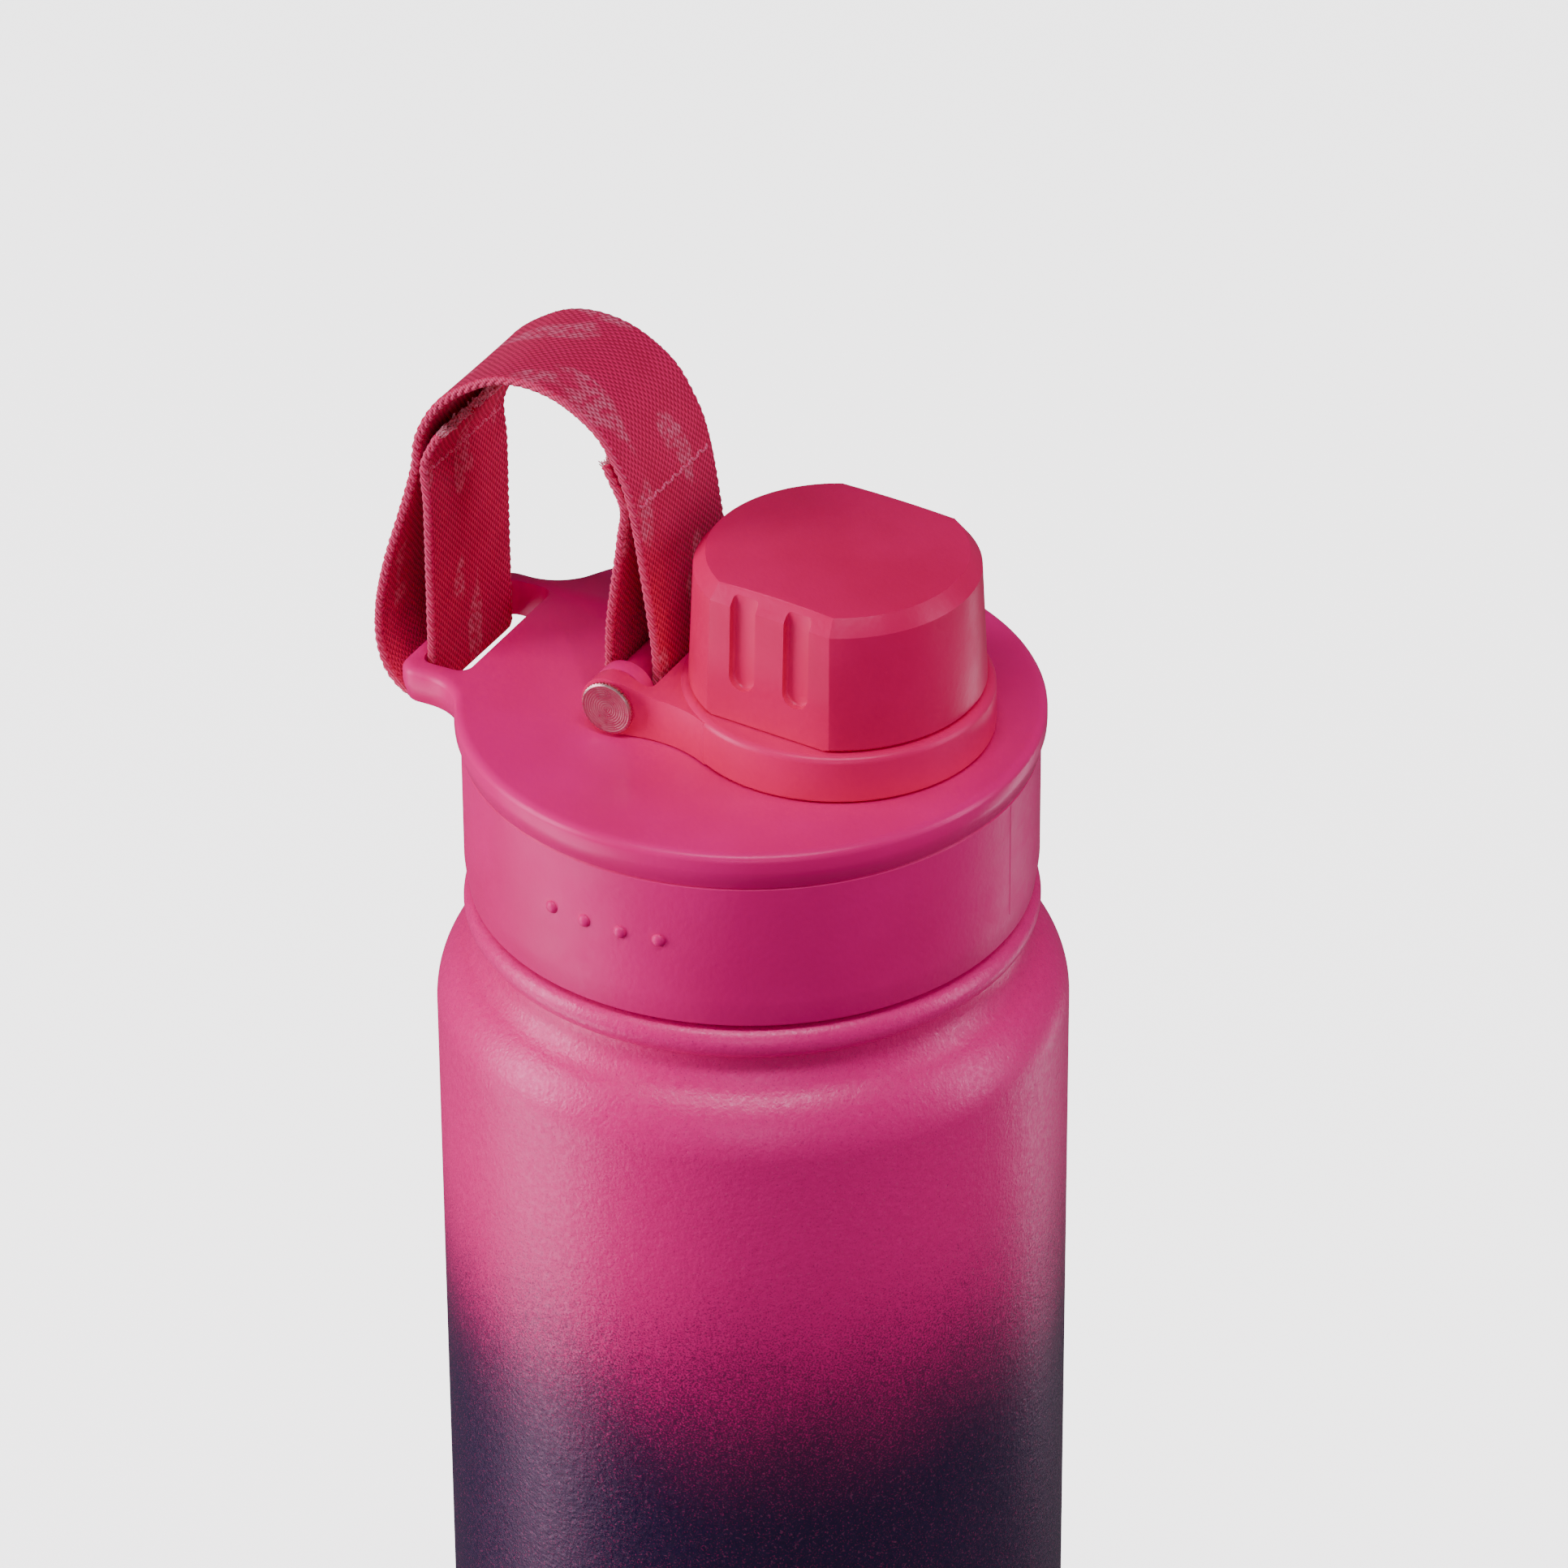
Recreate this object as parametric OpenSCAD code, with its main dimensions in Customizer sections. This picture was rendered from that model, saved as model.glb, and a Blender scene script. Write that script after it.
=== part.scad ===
// Insulated shaker bottle: a double-wall steel body, a screw lid with a drinking spout, a tethered
// screw cap on a hinge pin, a webbing carry loop and a loose wire whisk ball.
// Millimetres. Z is up, the origin is the centre of the base, X runs from the lid's strap tab
// to the cap, and the hinge pin lies along Y.

/* [Body] */
// Outer diameter of the body
body_d = 73; // [71:0.5:75]
// Height of the straight outer wall above the ground
wall_h = 205.6; // [140:0.2:240]
// Thickness of each steel wall
steel_t = 0.6; // [0.5:0.05:0.8]
// Gap between the two walls
vacuum_gap = 2.2; // [1.8:0.1:2.6]
// Radius of the rounded bottom edge
base_fillet = 4.5; // [3.5:0.5:6]

/* [Neck] */
// Outer radius of the threaded neck
neck_r = 29.6; // [29.4:0.05:29.7]
// Height of the lip above the root of the neck
neck_h = 23.2; // [23:0.05:23.2]
// Outer radius of the rolled bead below the lid
bead_r = 33.1; // [32.8:0.1:33.3]

/* [Lid] */
// Outer radius of the lid's skirt
skirt_r = 32.9; // [32.8:0.05:33]
// Outer radius of the lid's flange
flange_r = 33.6; // [33.4:0.1:34]
// Distance from the bottle's axis to the end of the strap tab
tab_reach = 39.3; // [39:0.1:40]
// Width of the strap tab
tab_w = 25; // [24:0.5:26]
// Outer radius of the drinking spout
spout_r = 9.9; // [9.7:0.05:9.9]
// Radius of the drinking hole
spout_bore_r = 8.4; // [7:0.1:8.5]

/* [Hinge] */
// Distance from the bottle's axis to the hinge pin
hinge_x = 10.3; // [10.2:0.05:10.4]
// Radius of the hinge pin
pin_r = 1.6; // [1.4:0.05:1.65]
// Radius of the pin's head
pin_head_r = 3.2; // [2.8:0.1:3.3]
// Radial running clearance of the pin
pin_clear = 0.06; // [0.02:0.01:0.1]

/* [Cap] */
// Distance from the bottle's axis to the cap's axis
cap_x = 11.15; // [11:0.05:11.3]
// Outer radius of the tether ring
ring_r = 17.8; // [17.5:0.1:18]
// Radius of the cap at its lower edge
cap_r = 16.8; // [16.5:0.1:17]
// Distance from the cap's axis to its flats at the lower edge
cap_flat = 14.8; // [14.6:0.1:15]
// Turn of the cap's flats about its axis, in degrees
cap_turn = -4.7; // [-10:0.1:10]
// Draft of the cap's sides, in degrees
cap_draft = 2.6; // [1.5:0.1:3]

/* [Strap] */
// Width of the webbing
strap_w = 18; // [14:0.5:18.6]
// Thickness of the webbing
strap_t = 1.2; // [0.9:0.05:1.25]

/* [Whisk ball] */
// Diameter of the wire ball
ball_d = 46; // [36:1:50]
// Diameter of its wire
wire_d = 1.6; // [1.2:0.1:2]

/* [Hidden] */
$fn = 96;
eps = 0.01;

// Levels up the bottle; everything above the shoulder is measured from the root of the neck.
body_r = body_d / 2;
neck_z = wall_h + 9.4;
lip_z = neck_z + neck_h;
skirt_z = neck_z + 6.8;
flange_z = neck_z + 25.4;
ceiling_z = neck_z + 24.9;
plate_z = neck_z + 27.4;
lid_z = neck_z + 30;

// Shoulder: a convex arc, then a concave one into the neck
shoulder_r = 9;
shoulder_a = 50;
root_r = neck_r + 1.8;
root_arc = (body_r - shoulder_r * (1 - cos(shoulder_a)) - root_r) / (1 - cos(shoulder_a));
root_z = wall_h + (shoulder_r + root_arc) * sin(shoulder_a);
bead_arc = 2;
bead_z = neck_z + 4.2;
neck_bore_r = neck_r - steel_t;

// Liner
liner_r = body_r - steel_t - vacuum_gap;
liner_neck_r = neck_bore_r - 0.3;
liner_floor_z = 6;
liner_fillet = 7;
liner_wall_h = wall_h - 2;
liner_shoulder_r = 8;
liner_root_arc = (liner_r - liner_neck_r) / (1 - cos(shoulder_a)) - liner_shoulder_r;

// Base
foot_r = body_r - 6.9;
plate_t = 1.2;

// Lid thread: two starts
thread_h = 1;
lid_lead = 8;
lid_starts = 2;
thread_turns = 0.8;
core_bore_r = neck_r + thread_h + 0.4;
core_r = core_bore_r + 0.9;

// Cap: a threaded liner hangs through the tether's ring and is pressed into the shell
cap_lead = 3;
cap_thread_h = 0.7;
spout_z = lid_z + 11.5;
liner_bore_r = spout_r + 2;
liner_out_r = liner_bore_r + 0.9;
cap_z = lid_z + 6.2;
cap_shoulder_z = cap_z + 14.3;
cap_rim_z = cap_shoulder_z + 1.8;
cap_top_z = cap_rim_z + 0.9;
groove_w = 3.3;
groove_depth = 0.9;
groove_gap = 7;
groove_z = cap_z + 4.1;

// Hinge and tether
hinge_z = lid_z + 3.7;
lug_r = 3.5;
ear_in = 9.9;
ear_out = 11.9;
lug_in = 12.1;
lug_out = 14.4;
ring_z = lid_z + 0.2;
ring_h = 5.8;
ledge_h = 1.8;
web_x = -6.2;
arm_cut_r = 14;
arm_waist = 13.5;
arm_cut_y = arm_waist + arm_cut_r;
arm_cut_x = cap_x - sqrt(pow(ring_r + arm_cut_r, 2) - pow(arm_cut_y, 2));
barrel_r = 2.3;

// Strap slot in the tab
slot_far = 37.3;
slot_near = 31.2;
slot_w = strap_w + 2.6;

// Points of an arc about (x, y)
function arc(x, y, r, from, to, n = 10) =
    [for (i = [0:n]) let (a = from + (to - from) * i / n) [x + r * cos(a), y + r * sin(a)]];

function reversed(p) = [for (i = [len(p) - 1:-1:0]) p[i]];

// One helical ridge between radii ra < rb, with half widths wa and wb, fading out at both ends
module ridge(ra, rb, wa, wb, tip_is_outer, z, lead, start, turns, steps) {
    fade = 0.12;
    function grow(t) = min(1, 0.15 + t / fade, 0.15 + (1 - t) / fade);
    function corners(t) =
        let (
            h = (rb - ra) * grow(t),
            in = tip_is_outer ? ra : rb - h,
            out = tip_is_outer ? ra + h : rb
        )
        [[in, -wa], [out, -wb], [out, wb], [in, wa]];
    points = [
        for (i = [0:steps], c = corners(i / steps))
            let (t = i / steps, a = start + 360 * turns * t)
            [c[0] * cos(a), c[0] * sin(a), z + lead * turns * t + c[1]]
    ];
    sides = [
        for (i = [0:steps - 1], j = [0:3])
            let (k = (j + 1) % 4, a = 4 * i + j, b = 4 * i + k, c = b + 4, d = a + 4)
            each [[a, b, c], [a, c, d]]
    ];
    polyhedron(points, concat([[3, 2, 1, 0]], sides, [[for (j = [0:3]) 4 * steps + j]]));
}

// Steel body -------------------------------------------------------------------------------

// Half outline of the shell's outside, moved inward by d
function shell_line(d) = concat(
    arc(body_r - base_fillet, base_fillet, base_fillet - d, -90, 0),
    arc(body_r - shoulder_r, wall_h, shoulder_r - d, 0, shoulder_a),
    arc(root_r + root_arc, root_z, root_arc + d, 180 + shoulder_a, 180),
    arc(bead_r - bead_arc, bead_z, bead_arc - d,
        -acos((root_r - d - bead_r + bead_arc) / (bead_arc - d)), 90),
    [[neck_r - d, bead_z + bead_arc - d], [neck_r - d, lip_z - 0.9]]
);

module outer_shell() {
    color("#d6126c")
    union() {
        rotate_extrude()
        polygon(concat(
            [[0, plate_t + 0.2], [foot_r, plate_t + 0.2], [foot_r, 0]],
            shell_line(0),
            reversed(shell_line(steel_t)),
            [
                [foot_r + steel_t, steel_t],
                [foot_r + steel_t, plate_t + 0.2 + steel_t],
                [0, plate_t + 0.2 + steel_t]
            ]
        ));
        for (i = [0:lid_starts - 1])
            ridge(neck_r - 0.3, neck_r + thread_h, 1.1, 0.5, true,
                neck_z + 11.5, lid_lead, 360 * i / lid_starts, thread_turns, 36);
    }
}

// Half outline of the liner's outside, moved inward by d
function liner_line(d) = concat(
    [[0, liner_floor_z + d]],
    arc(liner_r - liner_fillet, liner_floor_z + liner_fillet, liner_fillet - d, -90, 0),
    arc(liner_r - liner_shoulder_r, liner_wall_h, liner_shoulder_r - d, 0, shoulder_a),
    arc(liner_neck_r + liner_root_arc, liner_wall_h + (liner_shoulder_r + liner_root_arc) * sin(shoulder_a),
        liner_root_arc + d, 180 + shoulder_a, 180)
);

module inner_liner() {
    color("#c9cbce")
    rotate_extrude()
    polygon(concat(
        liner_line(0),
        [
            [liner_neck_r, lip_z - 0.85],
            [neck_r, lip_z - 0.85],
            [neck_r, lip_z],
            [liner_neck_r - steel_t, lip_z]
        ],
        reversed(liner_line(steel_t))
    ));
}

// Round cover pressed into the foot, flush with the ground
module base_plate() {
    color("#b9bbc0")
    rotate_extrude()
    polygon([[0, 0], [foot_r - 0.7, 0], [foot_r - 0.2, 0.5], [foot_r - 0.2, plate_t], [0, plate_t]]);
}

// Drop of solder that closes the evacuation hole
module vacuum_seal() {
    color("#8f9196")
    translate([0, 0, plate_t + 0.25 + steel_t])
    rotate_extrude()
    polygon([[0, 0], [3, 0], [2.6, 0.6], [1.4, 1], [0, 1.1]]);
}

// Lid --------------------------------------------------------------------------------------

// Outer sleeve of the lid, with four moulded dots on its front
module lid_skirt() {
    dot_up = 10.8;
    dot_step = 8.1;
    dot_mid = -92.4;
    color("#e4117a")
    union() {
        rotate_extrude()
        polygon([
            [core_r + 0.05, skirt_z], [skirt_r - 0.5, skirt_z], [skirt_r, skirt_z + 3.2],
            [skirt_r, flange_z - 0.05], [core_r + 0.05, flange_z - 0.05]
        ]);
        for (i = [0:3])
            rotate([0, 0, dot_mid + dot_step * (i - 1.5)])
            translate([skirt_r - 0.25, 0, skirt_z + dot_up])
            rotate([0, 90, 0])
            cylinder(r = 0.65, h = 0.6, $fn = 24);
    }
}

// Inner part of the lid: threaded sleeve, ceiling and drinking spout
module lid_core() {
    color("#d80f70")
    difference() {
        union() {
            difference() {
                translate([0, 0, skirt_z + 0.6])
                cylinder(r = core_r, h = plate_z - 0.05 - skirt_z - 0.6);
                translate([0, 0, skirt_z])
                cylinder(r = core_bore_r, h = ceiling_z - skirt_z);
            }
            translate([cap_x, 0, ceiling_z + 1])
            cylinder(r = spout_r, h = spout_z - ceiling_z - 1);
            for (i = [0:lid_starts - 1])
                ridge(core_bore_r - thread_h, core_bore_r + 0.3, 0.5, 1.1, false,
                    neck_z + 9.5, lid_lead, 360 * i / lid_starts, thread_turns, 36);
            translate([cap_x, 0, 0])
            ridge(spout_r - 0.3, spout_r + cap_thread_h, 0.9, 0.35, true,
                lid_z + 5.4, cap_lead, 0, 1.4, 48);
        }
        translate([cap_x, 0, ceiling_z - 1])
        cylinder(r = spout_bore_r, h = spout_z - ceiling_z + 2);
    }
}

// Outline of the disc and its tab, moved inward by d; the corners between them are filleted
function lid_outline(d) =
    let (
        half = tab_w / 2,
        fillet = 6.5,
        corner = 2.5,
        fy = half + fillet,
        fx = -sqrt(pow(flange_r + fillet, 2) - pow(fy, 2)),
        a = atan2(fy, -fx),
        side = concat(
            arc(0, 0, flange_r - d, 0, 180 - a, 40),
            arc(fx, fy, fillet + d, -a, -90, 8),
            arc(-tab_reach + corner, half - corner, corner - d, 90, 180, 6)
        )
    )
    concat(side, [for (i = [len(side) - 1:-1:1]) [side[i][0], -side[i][1]]]);

// Solid through the outlines at a list of levels, each [height, inset]
module lid_slab(levels) {
    rings = [for (l = levels) [for (p = lid_outline(l[1])) [p[0], p[1], l[0]]]];
    n = len(rings[0]);
    top = len(levels) - 1;
    sides = [
        for (i = [0:top - 1], j = [0:n - 1])
            let (k = (j + 1) % n, a = n * i + j, b = n * i + k)
            each [[a, a + n, b + n], [a, b + n, b]]
    ];
    polyhedron(
        [for (r = rings) each r],
        concat([[for (j = [0:n - 1]) j]], sides, [[for (j = [n - 1:-1:0]) n * top + j]])
    );
}

// Top plate with its flange, the strap tab and the two hinge ears
module lid_top() {
    color("#e6157c")
    difference() {
        union() {
            lid_slab([
                [flange_z, 0.65], [flange_z + 2.3, 0], [lid_z - 1, 0], [lid_z - 0.4, 0.4], [lid_z, 1.2]
            ]);
            for (side = [0, 1])
                mirror([0, side, 0])
                translate([-hinge_x, -ear_in, 0]) {
                    translate([0, 0, hinge_z])
                    rotate([90, 0, 0])
                    cylinder(r = lug_r, h = ear_out - ear_in);
                    translate([-lug_r, ear_in - ear_out, lid_z - 0.5])
                    cube([2 * lug_r, ear_out - ear_in, hinge_z - lid_z + 0.5]);
                }
        }
        translate([0, 0, flange_z - 1])
        cylinder(r = core_r + 0.05, h = plate_z - flange_z + 1);
        translate([cap_x, 0, plate_z - 1])
        cylinder(r = spout_r + 0.1, h = 5);
        translate([-hinge_x, 20, hinge_z])
        rotate([90, 0, 0])
        cylinder(r = pin_r + pin_clear, h = 40);
        translate([0, 0, flange_z - 1])
        linear_extrude(8)
        strap_slot();
    }
}

// Slot with rounded ends for the webbing
module strap_slot() {
    end_r = 1.6;
    for (side = [-1, 1])
        for (x = [-slot_far + end_r, -slot_near - end_r])
            translate([x, side * (slot_w / 2 - end_r)])
            circle(r = end_r, $fn = 32);
    translate([-slot_far, end_r - slot_w / 2])
    square([slot_far - slot_near, slot_w - 2 * end_r]);
    translate([end_r - slot_far, -slot_w / 2])
    square([slot_far - slot_near - 2 * end_r, slot_w]);
}

// Ring that seals the lid's ceiling on the lip
module lid_gasket() {
    color("#e8e6e2")
    rotate_extrude()
    translate([neck_r - 1.9, lip_z + 0.05])
    square([3, ceiling_z - lip_z - 0.1]);
}

// Hinge --------------------------------------------------------------------------------------

module hinge_pin() {
    head_t = 0.7;
    color("#c98a86")
    translate([-hinge_x, 0, hinge_z])
    rotate([90, 0, 0])
    rotate_extrude()
    polygon([
        [0, -lug_out - 0.6], [2.3, -lug_out - 0.6], [2.5, -lug_out - 0.4], [2.5, -lug_out - 0.1],
        [pin_r, -lug_out - 0.1], [pin_r, lug_out + 0.1], [pin_head_r, lug_out + 0.1],
        [pin_head_r, lug_out + head_t - 0.1], [pin_head_r - 0.2, lug_out + head_t + 0.1],
        [0, lug_out + head_t + 0.1]
    ]);
}

// Sleeve on the pin that carries the webbing
module strap_barrel() {
    color("#c9116a")
    translate([-hinge_x, ear_in - 0.15, hinge_z])
    rotate([90, 0, 0])
    difference() {
        cylinder(r = barrel_r, h = 2 * ear_in - 0.3);
        translate([0, 0, -1])
        cylinder(r = pin_r + pin_clear, h = 2 * ear_in + 2);
    }
}

// Plan of the tether: ring, web and two arms, waisted where they meet the ring
module tether_plan() {
    difference() {
        union() {
            translate([cap_x, 0])
            circle(r = ring_r, $fn = 128);
            translate([-hinge_x, -lug_out])
            square([hinge_x + 2, 2 * lug_out]);
            translate([arm_cut_x, 1 - arm_cut_y * ring_r / (ring_r + arm_cut_r)])
            square([2 - arm_cut_x, 2 * (arm_cut_y * ring_r / (ring_r + arm_cut_r) - 1)]);
        }
        for (side = [-1, 1])
            translate([arm_cut_x, side * arm_cut_y])
            circle(r = arm_cut_r, $fn = 128);
        translate([-hinge_x - 1, -lug_in])
        square([hinge_x + 1 + web_x, 2 * lug_in]);
    }
}

// Ring that holds the cap captive and swings on the hinge pin
module tether() {
    color("#e21a78")
    difference() {
        union() {
            translate([0, 0, ring_z])
            linear_extrude(ring_h)
            tether_plan();
            for (side = [0, 1])
                mirror([0, side, 0])
                translate([-hinge_x, -lug_in, hinge_z])
                rotate([90, 0, 0])
                cylinder(r = lug_r, h = lug_out - lug_in);
        }
        translate([cap_x, 0, ring_z - 1])
        cylinder(r = liner_out_r + 0.3, h = ring_h + 2);
        translate([cap_x, 0, ring_z - 1])
        cylinder(r = liner_out_r + 1.8, h = ring_h - ledge_h + 1);
        translate([-hinge_x, 20, hinge_z])
        rotate([90, 0, 0])
        cylinder(r = pin_r + pin_clear, h = 40);
    }
}

// Cap ----------------------------------------------------------------------------------------

module cap_shell() {
    draft = tan(cap_draft);
    rise = cap_shoulder_z - cap_z;
    color("#dc1468")
    translate([cap_x, 0, 0])
    rotate([0, 0, cap_turn])
    difference() {
        intersection() {
            rotate_extrude($fn = 128)
            polygon([
                [0, cap_z], [cap_r, cap_z], [cap_r - rise * draft, cap_shoulder_z],
                [cap_r - rise * draft - 1.4, cap_rim_z], [7, cap_top_z - 0.2], [0, cap_top_z]
            ]);
            translate([-20, 0, 0])
            rotate([90, 0, 90])
            linear_extrude(40)
            polygon([
                [-cap_flat, cap_z - 1], [cap_flat, cap_z - 1], [cap_flat - rise * draft, cap_shoulder_z],
                [cap_flat - rise * draft - 1.4, cap_rim_z], [cap_flat - 2.5, cap_rim_z + 3],
                [2.5 - cap_flat, cap_rim_z + 3], [rise * draft + 1.4 - cap_flat, cap_rim_z],
                [rise * draft - cap_flat, cap_shoulder_z]
            ]);
        }
        translate([0, 0, cap_z - 1])
        cylinder(r = liner_out_r + 0.05, h = spout_z + 3.2 - cap_z + 1);
        for (turn = [0, 180], side = [-1, 1])
            rotate([0, 0, turn])
            translate([side * groove_gap / 2, -cap_flat, cap_z])
            rotate([90 - cap_draft, 0, 0])
            translate([0, 0, -groove_depth])
            linear_extrude(4) {
                translate([0, groove_z - cap_z + groove_w / 2])
                circle(r = groove_w / 2, $fn = 32);
                translate([-groove_w / 2, groove_z - cap_z + groove_w / 2])
                square([groove_w, 14]);
            }
    }
}

// Threaded cup that hangs through the ring; its flange keeps the cap on the tether
module cap_liner() {
    color("#c8105f")
    translate([cap_x, 0, 0])
    union() {
        rotate_extrude()
        polygon([
            [liner_bore_r, lid_z + 0.5], [liner_out_r + 1.4, lid_z + 0.5], [liner_out_r + 1.4, lid_z + 1.5],
            [liner_out_r, lid_z + 1.5], [liner_out_r, spout_z + 3.1], [0, spout_z + 3.1],
            [0, spout_z + 1.6], [liner_bore_r, spout_z + 1.6]
        ]);
        ridge(liner_bore_r - 0.5, liner_bore_r + 0.3, 0.35, 0.9, false,
            lid_z + 3.9, cap_lead, 0, 1.4, 48);
    }
}

// Disc that seals the spout
module cap_gasket() {
    color("#efece8")
    translate([cap_x, 0, spout_z + 0.1])
    cylinder(r = liner_bore_r - 0.15, h = 1.45);
}

// Carry loop -----------------------------------------------------------------------------------

// The webbing's route in X and Z, above the root of the neck: from its left end down through the
// tab's slot, under the bar, over the arch, round the barrel and up to its right end
left_side = [
    [-34.8, 59.1], [-35.9, 57], [-36.6, 54.4], [-36.5, 49], [-36.5, 43], [-36.5, 37], [-36.5, 31],
    [-36.5, 27.6], [-36.5, 25.6], [-36.9, 24.6], [-37.8, 24.1], [-39.2, 24.2], [-40.9, 25.1],
    [-42.4, 26.9], [-43.3, 29.9], [-43.4, 33.5], [-42.7, 38], [-41.5, 42.6], [-39.9, 47.5],
    [-38.7, 51.5]
];
arch = [
    [-38.1, 54.6], [-37.5, 57.8], [-36, 61.2], [-33.9, 64], [-31.2, 66.2], [-27.6, 68.2],
    [-23.9, 68.9], [-20, 68.4], [-16.6, 66.8], [-13.9, 64.6], [-12, 61.6], [-10.7, 58.8]
];
right_side = [[-9.8, 56], [-9.4, 53], [-8.9, 49.6], [-8.3, 45.6], [-7.7, 41.5], [-7.3, 37.5]];
right_tail = [
    [-13.3, 37.5], [-13.1, 41], [-12.6, 45], [-12, 49], [-11.5, 52.6], [-11.3, 56], [-12.2, 58.7],
    [-13.5, 61.2]
];
wrap_r = barrel_r + 0.1 + strap_t / 2;
around = arc(-hinge_x, hinge_z - neck_z, wrap_r, 0, -180, 8);
route = concat(left_side, arch, right_side, around, right_tail);

// Smooth curve through the points, n steps between each pair
function bend(p, n) = [
    for (i = [0:len(p) - 2], j = [0:n - 1])
        let (
            t = j / n,
            a = p[max(i - 1, 0)],
            b = p[i],
            c = p[i + 1],
            d = p[min(i + 2, len(p) - 1)]
        )
        b + 0.5 * t * ((c - a) + t * (2 * a - 5 * b + 4 * c - d) + t * t * (3 * b - a - 3 * c + d)),
    p[len(p) - 1]
];

function path_side(p, d) = [
    for (i = [0:len(p) - 1])
        let (v = p[min(i + 1, len(p) - 1)] - p[max(i - 1, 0)])
        p[i] + d * [-v[1], v[0]] / norm(v)
];

module strap_webbing() {
    curve = bend(route, 3);
    color("#c30f4e")
    translate([0, strap_w / 2, neck_z])
    rotate([90, 0, 0])
    linear_extrude(strap_w)
    polygon(concat(path_side(curve, strap_t / 2), reversed(path_side(curve, -strap_t / 2))));
}

// A row of stitching through both layers of the webbing
module stitch(x, z) {
    row_w = strap_w - 1.6;
    translate([x - 1.5, -row_w / 2, neck_z + z - 0.25])
    cube([3, row_w, 0.5]);
}

module stitch_left() {
    color("#ef5c92")
    stitch(-37.5, 54.5);
}

module stitch_right() {
    color("#ef5c92")
    stitch(-10.4, 56);
}

// Whisk ball -----------------------------------------------------------------------------------

// Loose ball of one wire, wound from pole to pole
module whisk_ball() {
    wire_r = wire_d / 2;
    wind_r = ball_d / 2 - wire_r;
    winds = 7;
    steps = 26 * winds;
    sides = 6;
    function at(t) =
        let (polar = 14 + 152 * t, a = 360 * winds * t)
        [sin(polar) * cos(a), sin(polar) * sin(a), cos(polar)];
    points = [
        for (i = [0:steps])
            let (
                t = i / steps,
                up = at(t),
                along = at(t + 0.0005) - at(t - 0.0005),
                across = cross(along, up) / norm(along)
            )
            for (j = [0:sides - 1])
                wind_r * up + wire_r * (cos(360 * j / sides) * up + sin(360 * j / sides) * across)
    ];
    faces = concat(
        [[for (j = [sides - 1:-1:0]) j]],
        [
            for (i = [0:steps - 1], j = [0:sides - 1])
                let (k = (j + 1) % sides, a = sides * i + j, b = sides * i + k)
                each [[a, b, b + sides], [a, b + sides, a + sides]]
        ],
        [[for (j = [0:sides - 1]) sides * steps + j]]
    );
    color("#c4c8cc")
    translate([0, 0, liner_floor_z + steel_t + 0.1 + ball_d / 2])
    polyhedron(points, faces);
}

outer_shell();
inner_liner();
base_plate();
vacuum_seal();
lid_skirt();
lid_core();
lid_top();
lid_gasket();
hinge_pin();
strap_barrel();
strap_webbing();
stitch_left();
stitch_right();
tether();
cap_shell();
cap_liner();
cap_gasket();
whisk_ball();
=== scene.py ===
"""Looks of an insulated shaker bottle: coated steel body, screw lid with a tethered cap, webbing loop.

Shapes are drawn in millimetres above the root of the neck and brought into the frame in metres.
"""

import random
from math import acos, atan2, cos, degrees, pi, radians, sin, sqrt, tan

import bmesh
import bpy
from mathutils import Matrix, Vector


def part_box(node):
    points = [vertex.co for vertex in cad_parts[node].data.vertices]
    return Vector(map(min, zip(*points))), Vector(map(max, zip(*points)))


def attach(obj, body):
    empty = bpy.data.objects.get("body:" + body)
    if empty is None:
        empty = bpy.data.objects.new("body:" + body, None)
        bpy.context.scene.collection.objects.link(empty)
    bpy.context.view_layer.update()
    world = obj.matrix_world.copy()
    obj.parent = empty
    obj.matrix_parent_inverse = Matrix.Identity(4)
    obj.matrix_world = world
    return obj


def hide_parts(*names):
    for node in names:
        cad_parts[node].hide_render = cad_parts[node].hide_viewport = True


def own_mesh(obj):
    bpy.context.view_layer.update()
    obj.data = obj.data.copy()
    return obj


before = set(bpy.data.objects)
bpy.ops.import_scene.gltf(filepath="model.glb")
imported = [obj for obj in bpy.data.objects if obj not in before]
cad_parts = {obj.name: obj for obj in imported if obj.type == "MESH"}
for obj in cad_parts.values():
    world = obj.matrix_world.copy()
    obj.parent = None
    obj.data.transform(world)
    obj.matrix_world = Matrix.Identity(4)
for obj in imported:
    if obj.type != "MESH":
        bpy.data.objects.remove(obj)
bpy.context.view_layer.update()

MM = 0.001
SKIRT_UP = 6.8
NECK_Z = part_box("lid_skirt")[0][2] / MM - SKIRT_UP
BODY_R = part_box("outer_shell")[1][0] / MM
TO_FRAME = Matrix.Translation((0, 0, NECK_Z * MM)) @ Matrix.Scale(MM, 4)

# Sizes shared by several pieces, in millimetres
NECK_R = 29.6
STEEL = 0.6
SKIRT_R = 32.9
SLEEVE_R = 31.95
FLANGE_R = 33.6
FLANGE_Z = 25.4
PLATE_Z = 27.4
LID_Z = 30.0
HINGE = Vector((-10.3, 0, 33.7))
HINGE_AXIS = Matrix.Translation(HINGE) @ Matrix.Rotation(pi / 2, 4, "X")
PIN_R = 1.66
LUG_R = 3.5
EAR = (9.9, 11.9)
LUG = (12.1, 14.4)
CAP_X = 11.15
CAP_AXIS = Matrix.Translation((CAP_X, 0, 0))
RING_R = 17.8
RING_Z = (30.2, 36.0)
STRAP_W = 18.0
STRAP_T = 1.2


# Camera, lights and floor ----------------------------------------------------------------------


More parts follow.
